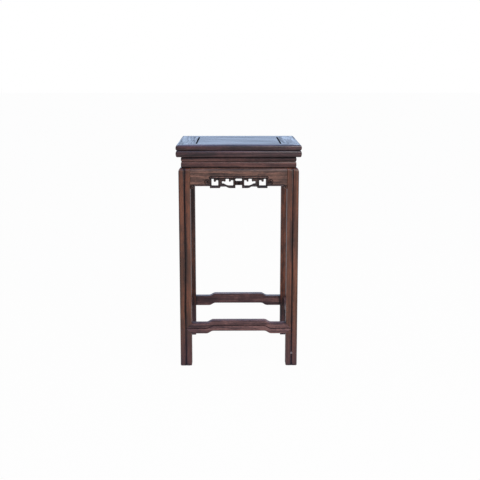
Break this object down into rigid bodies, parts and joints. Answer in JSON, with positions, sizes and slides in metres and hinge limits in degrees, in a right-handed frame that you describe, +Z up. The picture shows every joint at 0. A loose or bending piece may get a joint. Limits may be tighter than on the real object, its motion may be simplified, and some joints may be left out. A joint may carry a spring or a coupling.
{
  "type": "square side table",
  "caption": "Square waisted side table in dark hardwood with beaded legs, pierced key-fret aprons and hump-back stretchers",
  "frame": {"origin": "centre of the footprint, on the floor under the feet", "axes": "+Z up, -Y towards the front, +X to the right seen from the front"},
  "size_m": [0.38, 0.38, 0.694],
  "materials": {
    "rail": "varnished dark hardwood, semi-gloss",
    "panel": "varnished dark hardwood, semi-gloss",
    "moulding": "waxed dark hardwood, satin",
    "leg": "waxed dark hardwood, satin",
    "apron": "waxed dark hardwood, satin",
    "hidden": "planed hardwood, unfinished"
  },
  "bodies": {
    "root": {"top_rail_front": "rail", "top_rail_right": "rail", "top_rail_back": "rail", "top_rail_left": "rail", "top_panel": "panel", "panel_batten_1": "hidden", "panel_batten_2": "hidden", "under_edge_strip_front": "moulding", "under_edge_strip_right": "moulding", "under_edge_strip_back": "moulding", "under_edge_strip_left": "moulding", "waist_strip_front": "moulding", "waist_strip_right": "moulding", "waist_strip_back": "moulding", "waist_strip_left": "moulding", "lower_waist_strip_front": "moulding", "lower_waist_strip_right": "moulding", "lower_waist_strip_back": "moulding", "lower_waist_strip_left": "moulding", "stretcher_front": "leg", "stretcher_right": "leg", "stretcher_back": "leg", "stretcher_left": "leg", "apron_front": "apron", "apron_right": "apron", "apron_back": "apron", "apron_left": "apron", "leg_front_right": "leg", "leg_back_right": "leg", "leg_back_left": "leg", "leg_front_left": "leg"}
  },
  "joints": []
}
